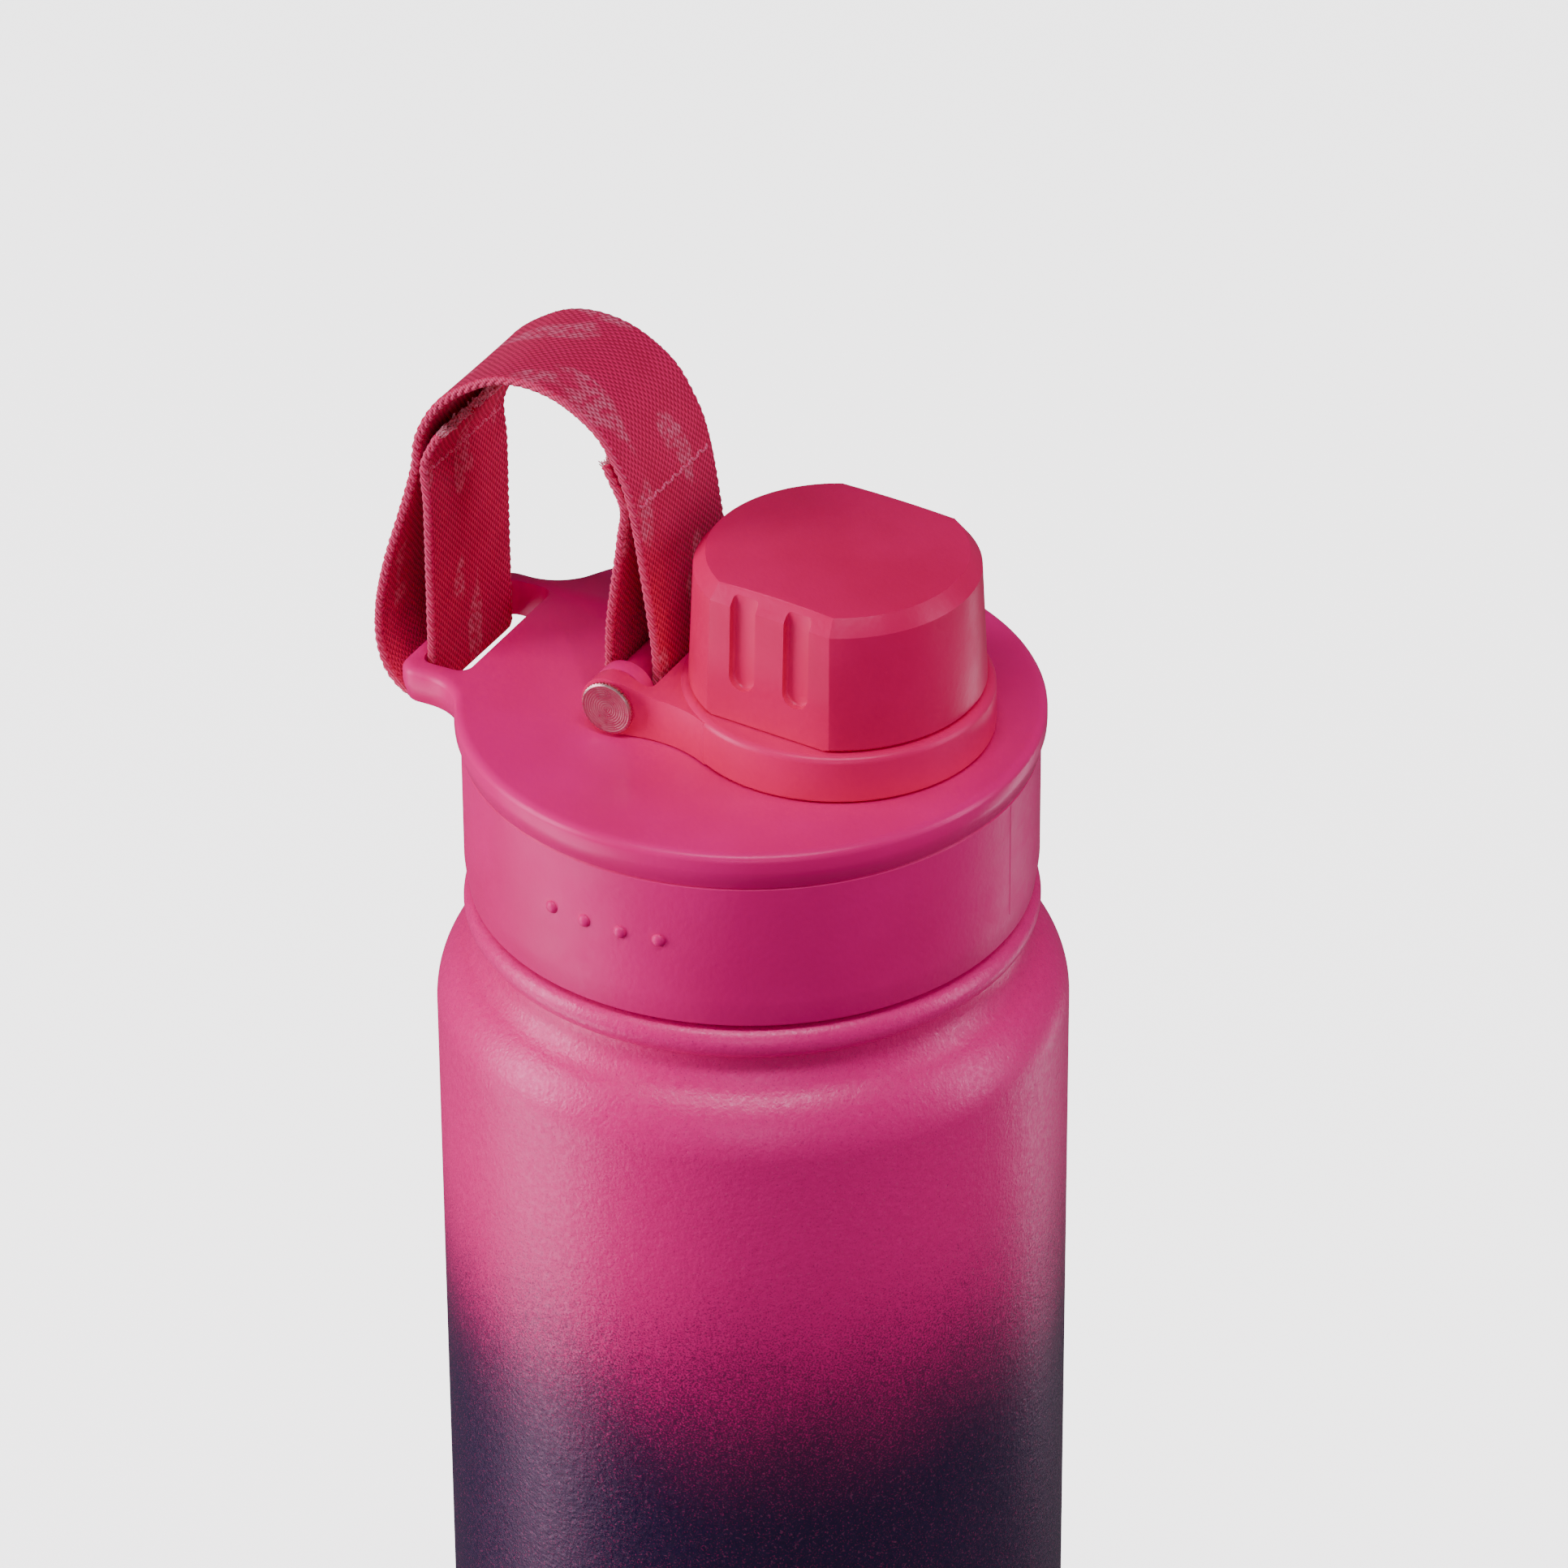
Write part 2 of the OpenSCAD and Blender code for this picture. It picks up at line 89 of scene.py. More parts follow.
def make_camera():
    azimuth, elevation, roll = radians(28), 0.5614, -0.0064
    distance, to_right, to_top = 0.9853, 0.0037, 0.0155
    back = Vector((sin(azimuth) * cos(elevation), -cos(azimuth) * cos(elevation), sin(elevation)))
    right = Vector((cos(azimuth), sin(azimuth), 0))
    up = back.cross(right)
    data = bpy.data.cameras.new("camera")
    data.sensor_width = 36
    data.lens = 196.86
    data.clip_end = 20
    camera = bpy.data.objects.new("camera", data)
    across = right * cos(roll) + up * sin(roll)
    upward = up * cos(roll) - right * sin(roll)
    place = Vector((0, 0, NECK_Z * MM)) + back * distance + right * to_right + up * to_top
    camera.matrix_world = Matrix.Translation(place) @ Matrix((across, upward, back)).transposed().to_4x4()
    bpy.context.collection.objects.link(camera)
    bpy.context.scene.camera = camera


def make_light(name, place, aim, size, power, colour=(1, 1, 1)):
    data = bpy.data.lights.new(name, "AREA")
    data.shape = "RECTANGLE"
    data.size, data.size_y = size
    data.energy = power
    data.color = colour
    light = bpy.data.objects.new(name, data)
    light.visible_camera = False
    direction = Vector(aim) - Vector(place)
    light.matrix_world = Matrix.Translation(place) @ direction.to_track_quat("-Z", "Y").to_matrix().to_4x4()
    bpy.context.collection.objects.link(light)


def make_studio():
    world = bpy.data.worlds.new("studio")
    world.use_nodes = True
    background = world.node_tree.nodes["Background"]
    background.inputs["Color"].default_value = (1, 1, 1, 1)
    background.inputs["Strength"].default_value = 0.11
    bpy.context.scene.world = world
    middle = (0, 0, 0.2)
    rosy = (1, 0.72, 0.86)
    make_light("left_box", (-0.85, -0.6, 0.42), middle, (0.5, 0.8), 11, rosy)
    make_light("right_box", (0.95, 0.35, 0.42), middle, (0.22, 0.9), 4, rosy)
    make_light("top_box", (0.18, -0.38, 1.15), middle, (0.75, 0.14), 5.2)
    make_light("front_box", (0.55, -1.05, 0.55), middle, (0.5, 0.5), 1.6, rosy)
    make_light("left_card", (-0.33, -0.27, 0.004), (-0.33, -0.27, 1), (0.34, 0.3), 1.15, rosy)
    make_light("right_card", (0.2, 0.36, 0.004), (0.2, 0.36, 1), (0.12, 0.3), 0.28, rosy)


def make_floor():
    """Wide pale floor that glows to the camera but throws no light on the bottle."""
    bm = bmesh.new()
    bmesh.ops.create_grid(bm, x_segments=1, y_segments=1, size=6)
    mesh = bpy.data.meshes.new("floor")
    bm.to_mesh(mesh)
    bm.free()
    mesh.materials.append(floor_finish())
    ground = bpy.data.objects.new("floor", mesh)
    bpy.context.collection.objects.link(ground)
    ground.visible_diffuse = False
    ground.visible_glossy = False


# Mesh work -------------------------------------------------------------------------------------


def arc(x, y, r, start, end, n=8):
    """Points of an arc about (x, y), its angles in degrees."""
    angles = [radians(start + (end - start) * i / n) for i in range(n + 1)]
    return [(x + r * cos(a), y + r * sin(a)) for a in angles]


def place_piece(bm, name, body, finish, sharp=32):
    """Turn a bmesh into a finished piece of the bottle, with edges past the sharp angle left crisp."""
    bmesh.ops.transform(bm, matrix=TO_FRAME, verts=bm.verts)
    mesh = bpy.data.meshes.new(name)
    for face in bm.faces:
        face.smooth = True
    bm.to_mesh(mesh)
    bm.free()
    mesh.set_sharp_from_angle(angle=radians(sharp))
    mesh.materials.append(finish)
    piece = bpy.data.objects.new(name, mesh)
    bpy.context.collection.objects.link(piece)
    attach(piece, body)
    return piece


def outline(bm, points):
    """Closed loop of edges through the points; the vertices and edges are returned."""
    verts = [bm.verts.new(p) for p in points]
    return verts, [bm.edges.new(pair) for pair in zip(verts, verts[1:] + verts[:1])]


def bridged(bm, rings):
    """Skin through loops of edges, closed at both ends; the last cap's faces are returned."""
    for low, high in zip(rings, rings[1:]):
        bmesh.ops.bridge_loops(bm, edges=low + high)
    bmesh.ops.contextual_create(bm, geom=rings[0])
    return bmesh.ops.contextual_create(bm, geom=rings[-1])["faces"]


def outward(bm):
    """Turn every face outward."""
    bmesh.ops.recalc_face_normals(bm, faces=bm.faces)
    return bm


def clean(bm):
    """Merge the vertices that meet, and turn every face outward."""
    bmesh.ops.remove_doubles(bm, verts=bm.verts, dist=0.0005)
    return outward(bm)


def lathe(profile, steps=192, axis_x=0.0):
    """Closed profile of (radius, height) points spun about a vertical axis."""
    bm = bmesh.new()
    verts, edges = outline(bm, [(axis_x + r, 0, z) for r, z in profile])
    bmesh.ops.spin(
        bm, geom=verts + edges, cent=(axis_x, 0, 0), axis=(0, 0, 1), angle=2 * pi, steps=steps,
        use_merge=True,
    )
    return clean(bm)


def thread(bm, section, z, lead, start, turns):
    """Add a helical ridge of the given (radius, height) section."""
    turn = Matrix.Rotation(radians(start), 3, "Z")
    verts, edges = outline(bm, [turn @ Vector((r, 0, z + h)) for r, h in section])
    bm.faces.new(verts)
    steps = int(72 * turns)
    spun = bmesh.ops.spin(
        bm, geom=verts + edges, cent=(0, 0, 0), axis=(0, 0, 1), dvec=(0, 0, lead * turns / steps),
        angle=2 * pi * turns, steps=steps,
    )
    last = [v for v in spun["geom_last"] if isinstance(v, bmesh.types.BMVert)]
    bmesh.ops.contextual_create(bm, geom=last)


def slab(points, low, high):
    """Prism between two heights over an outline."""
    bm = bmesh.new()
    verts, _ = outline(bm, [(x, y, low) for x, y in points])
    face = bm.faces.new(verts)
    raised = bmesh.ops.extrude_face_region(bm, geom=[face])
    top = [v for v in raised["geom"] if isinstance(v, bmesh.types.BMVert)]
    bmesh.ops.translate(bm, vec=(0, 0, high - low), verts=top)
    return outward(bm)


def loft(rings):
    """Closed solid through rings of points that match one to one."""
    bm = bmesh.new()
    bridged(bm, [outline(bm, ring)[1] for ring in rings])
    return outward(bm)


def rod(radius, low, high, steps=64):
    """Cylinder along Z."""
    bm = bmesh.new()
    bmesh.ops.create_cone(
        bm, cap_ends=True, segments=steps, radius1=radius, radius2=radius, depth=high - low,
        matrix=Matrix.Translation((0, 0, (low + high) / 2)),
    )
    return bm


def moved(bm, matrix):
    """Carry a bmesh by a matrix, keeping its faces outward when the matrix mirrors."""
    bmesh.ops.transform(bm, matrix=matrix, verts=bm.verts)
    if matrix.determinant() < 0:
        bmesh.ops.reverse_faces(bm, faces=bm.faces)
    return bm


def scratch(bm):
    """Temporary object for the boolean and bevel modifiers."""
    mesh = bpy.data.meshes.new("scratch")
    bm.to_mesh(mesh)
    bm.free()
    made = bpy.data.objects.new("scratch", mesh)
    bpy.context.collection.objects.link(made)
    return made


def combine(base, *steps):
    """Apply (operation, bmesh) booleans to a bmesh and return the result."""
    work = scratch(base)
    tools = []
    for operation, tool in steps:
        cutter = scratch(tool)
        tools.append(cutter)
        modifier = work.modifiers.new("boolean", "BOOLEAN")
        modifier.operation = operation
        modifier.solver = "EXACT"
        modifier.object = cutter
    return harvest(work, tools)


def rounded(bm, width, segments=3, angle=30):
    """Bevel the edges that are sharper than the angle, and return the result."""
    work = scratch(bm)
    modifier = work.modifiers.new("bevel", "BEVEL")
    modifier.width = width
    modifier.segments = segments
    modifier.limit_method = "ANGLE"
    modifier.angle_limit = radians(angle)
    modifier.use_clamp_overlap = True
    return harvest(work, [])


def harvest(work, tools):
    """Evaluate a temporary object's modifiers into a fresh bmesh."""
    bpy.context.view_layer.update()
    evaluated = work.evaluated_get(bpy.context.evaluated_depsgraph_get())
    mesh = bpy.data.meshes.new_from_object(evaluated)
    bm = bmesh.new()
    bm.from_mesh(mesh)
    for used in [work, *tools]:
        bpy.data.objects.remove(used)
    return bm


# Finishes --------------------------------------------------------------------------------------


class Finish:
    """A Principled material, with short calls for the nodes that feed it."""

    def __init__(self, name, roughness, metallic=0.0, **constants):
        self.material = bpy.data.materials.new(name)
        self.material.use_nodes = True
        self.tree = self.material.node_tree
        self.shader = self.tree.nodes["Principled BSDF"]
        self.shader.inputs["Roughness"].default_value = roughness
        self.shader.inputs["Metallic"].default_value = metallic
        for socket, value in constants.items():
            self.shader.inputs[socket.replace("_", " ")].default_value = value
        self.where = self.tree.nodes.new("ShaderNodeTexCoord").outputs["Object"]

    def node(self, kind, **settings):
        made = self.tree.nodes.new("ShaderNode" + kind)
        for key, value in settings.items():
            setattr(made, key, value)
        return made

    def feed(self, socket, value):
        if isinstance(value, bpy.types.NodeSocket):
            self.tree.links.new(value, socket)
        else:
            socket.default_value = value

    def math(self, operation, a, b=0.0):
        made = self.node("Math", operation=operation)
        self.feed(made.inputs[0], a)
        self.feed(made.inputs[1], b)
        return made.outputs[0]

    def wave(self, value, pitch):
        """Sine of a length, with one crest every pitch metres."""
        return self.math("SINE", self.math("MULTIPLY", value, 2 * pi / pitch))

    def about_zero(self, noise, reach):
        """Noise centred on zero and scaled to the reach."""
        return self.math("MULTIPLY", self.math("SUBTRACT", noise, 0.5), reach)

    def noise(self, size, detail=2.0, rough=0.5, where=None):
        """Noise whose features are about this many metres across."""
        made = self.node("TexNoise")
        self.feed(made.inputs["Vector"], where or self.where)
        made.inputs["Scale"].default_value = 1 / size
        made.inputs["Detail"].default_value = detail
        made.inputs["Roughness"].default_value = rough
        return made.outputs["Fac"]

    def ramp(self, value, low, high, to_low=0.0, to_high=1.0):
        """Smooth step from one value to another between low and high."""
        made = self.node("MapRange", interpolation_type="SMOOTHSTEP")
        self.feed(made.inputs["Value"], value)
        limits = {"From Min": low, "From Max": high, "To Min": to_low, "To Max": to_high}
        for socket, number in limits.items():
            made.inputs[socket].default_value = number
        return made.outputs["Result"]

    def mix(self, factor, a, b):
        made = self.node("Mix", data_type="RGBA")
        self.feed(made.inputs["Factor"], factor)
        self.feed(made.inputs["A"], a)
        self.feed(made.inputs["B"], b)
        return made.outputs["Result"]

    def colour(self, value):
        self.feed(self.shader.inputs["Base Color"], value)

    def roughness(self, value):
        self.feed(self.shader.inputs["Roughness"], value)

    def bump(self, height, depth, strength=1.0, under=None):
        """Relief of a depth in metres, on top of an earlier bump when one is given."""
        made = self.node("Bump")
        made.inputs["Distance"].default_value = depth
        made.inputs["Strength"].default_value = strength
        self.feed(made.inputs["Height"], height)
        if under:
            self.tree.links.new(under, made.inputs["Normal"])
        self.tree.links.new(made.outputs["Normal"], self.shader.inputs["Normal"])
        return made.outputs["Normal"]

    def split(self, vector=None):
        made = self.node("SeparateXYZ")
        self.feed(made.inputs[0], vector or self.where)
        return made.outputs


def rgb(text):
    """Linear colour from an sRGB hex code."""
    channels = [int(text[i : i + 2], 16) / 255 for i in (0, 2, 4)]
    linear = [c / 12.92 if c <= 0.04045 else ((c + 0.055) / 1.055) ** 2.4 for c in channels]
    return (*linear, 1)


def powder_coat():
    """Fine orange-peel coating that fades from pink to dark violet in a speckled band."""
    all_violet, all_pink = (NECK_Z - 61) * MM, (NECK_Z - 17) * MM
    made = Finish("powder_coat", 0.42, Specular_IOR_Level=0.8, Specular_Tint=(1, 0.7, 0.9, 1))
    height = made.split()[2]
    level = made.math("ADD", height, made.about_zero(made.noise(0.02, 3.0), 0.012))
    fade = made.ramp(level, all_violet, all_pink)
    spread = made.math("ADD", made.about_zero(made.noise(0.0002, 1.0), 1.8), fade)
    speckle = made.ramp(spread, 0.1, 0.9)
    share = made.math("ADD", made.math("MULTIPLY", speckle, 0.62), made.math("MULTIPLY", fade, 0.38))
    pink = made.mix(made.noise(0.0009, 2.0), rgb("EC0084"), rgb("FC0A92"))
    violet = made.mix(made.noise(0.0007, 2.0), rgb("140A32"), rgb("1E0F42"))
    body = made.mix(share, violet, pink)
    glint = made.ramp(made.noise(0.00033, 0.0), 0.70, 0.78)
    made.colour(made.mix(made.math("MULTIPLY", glint, 0.12), body, rgb("FF7AB4")))
    made.roughness(made.ramp(made.noise(0.0006, 2.0), 0.3, 0.7, 0.30, 0.46))
    fine = made.bump(made.noise(0.0004, 2.0), 0.00008, 0.6)
    under = made.bump(made.noise(0.0009, 2.0), 0.00009, 0.5, fine)
    made.bump(made.noise(0.0028, 1.0), 0.00012, 0.3, under)
    return made.material


def moulded(name, deep, light, rough, grain_depth=0.00003, grain_size=0.0005):
    """Injection-moulded plastic with slight clouding, fine grain and a little handling wear."""
    made = Finish(
        name, rough, Specular_IOR_Level=0.55, Specular_Tint=(1, 0.55, 0.8, 1), Subsurface_Weight=0.05,
        Subsurface_Scale=0.002,
    )
    made.shader.inputs["Subsurface Radius"].default_value = (1.0, 0.25, 0.35)
    made.colour(made.mix(made.ramp(made.noise(0.018, 3.0), 0.3, 0.7), deep, light))
    scuff = made.noise(0.006, 6.0, 0.7)
    made.roughness(made.ramp(scuff, 0.35, 0.75, rough - 0.04, rough + 0.10))
    under = made.bump(made.noise(grain_size, 2.0), grain_depth, 0.6)
    made.bump(made.noise(0.009, 2.0), 0.00008, 0.3, under)
    return made.material


def silicone():
    """Pale, slightly see-through rubber of the gaskets."""
    made = Finish("silicone", 0.55, Subsurface_Weight=0.15, Subsurface_Scale=0.003)
    made.colour(made.mix(made.noise(0.01), rgb("E9E4DE"), rgb("F5F1EC")))
    made.bump(made.noise(0.0004), 0.00002, 0.5)
    return made.material


def brushed_steel():
    """Bare steel with fine lines round the bottle."""
    made = Finish("brushed_steel", 0.3, 1.0)
    stretch = made.node("Mapping")
    made.feed(stretch.inputs["Vector"], made.where)
    stretch.inputs["Scale"].default_value = (0.03, 0.03, 1)
    lines = made.noise(0.0002, 3.0, 0.6, stretch.outputs[0])
    made.colour(made.mix(lines, rgb("C9CACC"), rgb("E4E4E6")))
    made.roughness(made.ramp(lines, 0.3, 0.7, 0.22, 0.4))
    made.bump(lines, 0.00001, 0.4)
    return made.material


def turned_steel_painted_reflection():
    """The pin's end, with the rings that a lathe leaves; its colour is tinted with the lid's pink as a
    painted reflection.
    """
    made = Finish("turned_steel_painted_reflection", 0.33, 1.0)
    x, _, z = made.split()
    across = made.math("POWER", made.math("SUBTRACT", x, HINGE.x * MM), 2.0)
    above = made.math("POWER", made.math("SUBTRACT", z, (NECK_Z + HINGE.z) * MM), 2.0)
    rings = made.wave(made.math("SQRT", made.math("ADD", across, above)), 0.00028)
    # Painted reflection: the steel's colour is tinted pink for the lid seen in it.
    made.colour(made.mix(made.noise(0.0012, 3.0), rgb("B98F8E"), rgb("D3B6B2")))
    made.roughness(made.ramp(made.noise(0.0008, 3.0), 0.3, 0.7, 0.26, 0.42))
    under = made.bump(rings, 0.000012, 0.6)
    made.bump(made.noise(0.0006, 2.0), 0.00004, 0.5, under)
    return made.material


def wire_steel():
    """Bright drawn wire."""
    made = Finish("wire_steel", 0.16, 1.0)
    made.colour(made.mix(made.noise(0.003), rgb("C6C9CC"), rgb("DDDFE1")))
    made.roughness(made.ramp(made.noise(0.0015, 3.0), 0.3, 0.7, 0.12, 0.26))
    return made.material


def webbing():
    """Plain-weave ribbon: threads cross in a small check, painted shade darkens the low threads between the
    raised ones, and a paler print sits on the raised ones.
    """
    warp_pitch, weft_pitch, ply_pitch = 0.00084, 0.00088, 0.00021
    made = Finish("webbing", 0.72, Specular_IOR_Level=0.3, Sheen_Weight=0.15, Sheen_Roughness=0.45)
    made.shader.inputs["Sheen Tint"].default_value = rgb("FF9CC0")
    cloth = made.node("UVMap", uv_map="cloth").outputs[0]
    across, along, _ = made.split(cloth)
    wobble = made.about_zero(made.noise(0.004, 2.0, 0.5, cloth), 0.00035)
    warp = made.wave(made.math("ADD", across, wobble), warp_pitch)
    weft = made.wave(made.math("ADD", along, wobble), weft_pitch)
    crossings = made.math("MULTIPLY", made.math("MULTIPLY", warp, weft), 0.7)
    ribs = made.math("MULTIPLY", made.wave(across, warp_pitch / 2), 0.35)
    check = made.math("ADD", crossings, ribs)
    high = made.ramp(check, -0.6, 0.65)
    ply = made.wave(made.math("ADD", across, along), ply_pitch)
    dye = made.mix(made.noise(0.0035, 4.0, 0.6, cloth), rgb("EC0060"), rgb("FF0A7A"))
    # Painted shade: the low parts of the check take a dark pink, the raised threads take the dye.
    woven_with_painted_shade = made.mix(high, rgb("B0003C"), dye)
    blot = made.node("Mapping")
    made.feed(blot.inputs["Vector"], cloth)
    blot.inputs["Rotation"].default_value = (0, 0, 0.6)
    blot.inputs["Scale"].default_value = (1.9, 0.75, 1)
    blot.inputs["Location"].default_value = (0.013, 0.004, 0)
    shape = made.ramp(made.noise(0.0105, 1.5, 0.4, blot.outputs[0]), 0.565, 0.605)
    worn = made.math("MULTIPLY", shape, made.ramp(made.noise(0.0011, 3.0, 0.6, cloth), 0.34, 0.6))
    print_share = made.math("MULTIPLY", worn, made.ramp(high, 0.0, 0.9, 0.12, 0.7))
    made.colour(made.mix(print_share, woven_with_painted_shade, rgb("F58AAE")))
    made.roughness(made.ramp(high, 0.0, 1.0, 0.85, 0.62))
    under = made.bump(check, 0.00011, 0.8)
    made.bump(ply, 0.000018, 0.6, under)
    return made.material


def yarn(name, deep, light):
    """Twisted sewing thread, its colour painted darker in the twist's grooves as painted shade."""
    made = Finish(name, 0.6, Sheen_Weight=0.3)
    x, y, z = made.split()
    twist = made.wave(made.math("ADD", made.math("ADD", x, y), z), 0.0005)
    # Painted shade: the colour follows the twist, darker in its grooves and paler on its crests.
    made.colour(made.mix(made.ramp(twist, -1, 1), deep, light))
    made.bump(twist, 0.00003, 0.7)
    return made.material


def floor_finish():
    """Near-white matt floor with a glow of its own."""
    made = Finish("pale_floor", 0.8, Emission_Strength=3.0)
    made.shader.inputs["Emission Color"].default_value = (1, 1, 1, 1)
    made.colour(made.mix(made.noise(0.2, 4.0), rgb("F4F4F4"), rgb("F8F8F8")))
    made.bump(made.noise(0.003), 0.00003, 0.2)
    return made.material


# Steel body ------------------------------------------------------------------------------------


def shell_line(inset):
    """Half outline of the body, moved inward, from the foot to the lip."""
    wall_top = -9.4
    fillet, shoulder, bend, bead, bead_r = 4.5, 9.0, 50, 2.0, 33.1
    foot = -NECK_Z
    root = NECK_R + 1.8
    hollow = (BODY_R - shoulder * (1 - cos(radians(bend))) - root) / (1 - cos(radians(bend)))
    root_z = wall_top + (shoulder + hollow) * sin(radians(bend))
    meets = degrees(acos((root - inset - bead_r + bead) / (bead - inset)))
    return (
        arc(BODY_R - fillet, foot + fillet, fillet - inset, -90, 0, 10)
        + arc(BODY_R - shoulder, wall_top, shoulder - inset, 0, bend, 16)
        + arc(root + hollow, root_z, hollow + inset, 180 + bend, 180, 10)
        + arc(bead_r - bead, 4.2, bead - inset, -meets, 90, 20)
        + [(NECK_R - inset, 6.2 - inset), (NECK_R - inset, 22.3)]
    )


def make_shell(finish):
    """Coated outer wall, with its foot and the two-start thread of the neck."""
    foot_in, floor = BODY_R - 6.9, 1.4 - NECK_Z
    profile = (
        [(0, floor), (foot_in, floor), (foot_in, 0.3 - NECK_Z), (foot_in + 0.3, -NECK_Z)]
        + shell_line(0)
        + shell_line(STEEL)[::-1]
        + [(foot_in + STEEL, STEEL - NECK_Z), (foot_in + STEEL, floor + STEEL), (0, floor + STEEL)]
    )
    bm = lathe(profile, 256)
    ridge = [(-0.2, -1.1), (0.8, -0.6), (1, -0.3), (1, 0.3), (0.8, 0.6), (-0.2, 1.1)]
    section = [(NECK_R + r, z) for r, z in ridge]
    low, lead, turns = 11.5, 8, 0.8
    for start in (0, 180):
        thread(bm, section, low, lead, start, turns)
    piece = place_piece(outward(bm), "coated_body", "bottle", finish)
    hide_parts("outer_shell")


# Lid -------------------------------------------------------------------------------------------


def on_skirt(angle, proud, up, size):
    """Matrix for a small relief of this size on the sleeve's outer face."""
    turn = Matrix.Rotation(radians(angle), 4, "Z")
    return turn @ Matrix.Translation((SKIRT_R + proud, 0, up)) @ Matrix.Diagonal((*size, 1))


def make_skirt(finish):
    """Sleeve of the lid, with its four moulded dots and the faint parting lines of the mould."""
    top = FLANGE_Z - 0.05
    profile = [(SLEEVE_R, SKIRT_UP), (SKIRT_R - 0.75, SKIRT_UP)]
    profile += arc(SKIRT_R - 0.75, SKIRT_UP + 0.3, 0.3, -90, -8, 4)
    profile += [(SKIRT_R - 0.08, 9.6), (SKIRT_R, 10.4)]
    profile += [(SKIRT_R, top - 0.25), (SKIRT_R - 0.2, top), (SLEEVE_R, top)]
    bm = lathe(profile, 256)
    dot_up, dot_step, dot_mid = 17.6, 8.1, -92.4
    for i in range(4):
        place = on_skirt(dot_mid + dot_step * (i - 1.5), -0.05, dot_up, (0.55, 0.8, 0.8))
        bmesh.ops.create_icosphere(bm, subdivisions=3, radius=1, matrix=place)
    for angle in (0, 180):
        bmesh.ops.create_cube(bm, size=1, matrix=on_skirt(angle, 0, 17.7, (0.08, 0.12, 14.4)))
    piece = place_piece(bm, "lid_sleeve", "lid", finish)
    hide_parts("lid_skirt")


def lid_outline(inset):
    """Disc with its strap tab and filleted corners, moved inward."""
    half, fillet, corner, reach = 12.5, 6.5, 2.5, 39.3
    fy = half + fillet
    fx = -sqrt((FLANGE_R + fillet) ** 2 - fy**2)
    meet = degrees(atan2(fy, -fx))
    side = (
        arc(0, 0, FLANGE_R - inset, 0, 180 - meet, 72)
        + arc(fx, fy, fillet + inset, -meet, -90, 14)[1:]
        + arc(corner - reach, half - corner, corner - inset, 90, 180, 8)
    )
    return side + [(x, -y) for x, y in side[:0:-1]]


def slot_outline():
    """Slot that the webbing passes through, with rounded ends."""
    far, near, half, end = 37.3, 31.2, (STRAP_W + 2.6) / 2, 1.6
    quarter = arc(end - far, half - end, end, 180, 90, 6) + arc(-near - end, half - end, end, 90, 0, 6)
    return quarter + [(x, -y) for x, y in quarter[::-1]]


def make_lid_top(finish):
    """Top plate with its rolled rim, strap tab, slot and two hinge ears."""
    levels = [(FLANGE_Z, 0.75), (FLANGE_Z + 0.15, 0.6), (27.5, 0.03), (27.9, 0)]
    round_in, round_up = 1.2, 1.0
    for angle in range(0, 91, 15):
        bend = radians(angle)
        levels.append((LID_Z - round_up + round_up * sin(bend), round_in * (1 - cos(bend))))
    plate = loft([[(x, y, z) for x, y in lid_outline(inset)] for z, inset in levels])
    cuts = [
        ("DIFFERENCE", rod(SLEEVE_R, FLANGE_Z - 1, PLATE_Z, 192)),
        ("DIFFERENCE", moved(rod(10.0, 20, 40, 96), CAP_AXIS)),
        ("DIFFERENCE", slab(slot_outline(), 20, 40)),
    ]
    near, far = EAR
    for side in (1, -1):
        foot = box_between((HINGE.x - LUG_R, -far, LID_Z - 1), (HINGE.x + LUG_R, -near, HINGE.z))
        ear = combine(moved(rod(LUG_R, near, far), HINGE_AXIS), ("UNION", foot))
        cuts.append(("UNION", moved(ear, Matrix.Scale(side, 4, (0, 1, 0)))))
    cuts.append(("DIFFERENCE", moved(rod(PIN_R, -20, 20), HINGE_AXIS)))
    bm = rounded(combine(plate, *cuts), 0.22, 2, 40)
    piece = place_piece(bm, "lid_plate", "lid", finish)
    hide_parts("lid_top")


def box_between(low, high):
    """Box between two opposite corners."""
    bm = bmesh.new()
    size = [b - a for a, b in zip(low, high)]
    middle = [(a + b) / 2 for a, b in zip(low, high)]
    bmesh.ops.create_cube(bm, size=1, matrix=Matrix.Translation(middle) @ Matrix.Diagonal((*size, 1)))
    return bm


# Hinge, tether and cap -------------------------------------------------------------------------


def make_pin(finish):
    """Pin with a finely knurled head at the front and a plain end at the back."""
    head, face, proud, teeth = 3.2, LUG[1] + 0.1, 0.6, 44
    bm = bmesh.new()
    levels = [(head - 0.35, 0, 0), (head, 0.1, 0.1), (head, proud - 0.15, 0.1), (head - 0.3, proud, 0)]
    rings = []
    for radius, rise, notch in levels:
        ring = []
        for i in range(2 * teeth):
            r, turn = radius - notch * (i % 2), pi * i / teeth
            ring.append((r * cos(turn), r * sin(turn), face + rise))
        rings.append(outline(bm, ring)[1])
    crown = bridged(bm, rings)
    bmesh.ops.inset_region(bm, faces=crown, thickness=0.5, depth=-0.04)
    shaft = [(0, -face - 0.5), (2.3, -face - 0.5), (2.5, -face - 0.3), (2.5, -face)]
    shaft += [(1.6, -face), (1.6, face), (0, face)]
    verts, edges = outline(bm, [(r, 0, z) for r, z in shaft])
    bmesh.ops.spin(
        bm, geom=verts + edges, cent=(0, 0, 0), axis=(0, 0, 1), angle=2 * pi, steps=64, use_merge=True
    )
    moved(clean(bm), HINGE_AXIS)
    piece = place_piece(bm, "pin_with_head", "lid", finish, 25)
    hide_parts("hinge_pin")


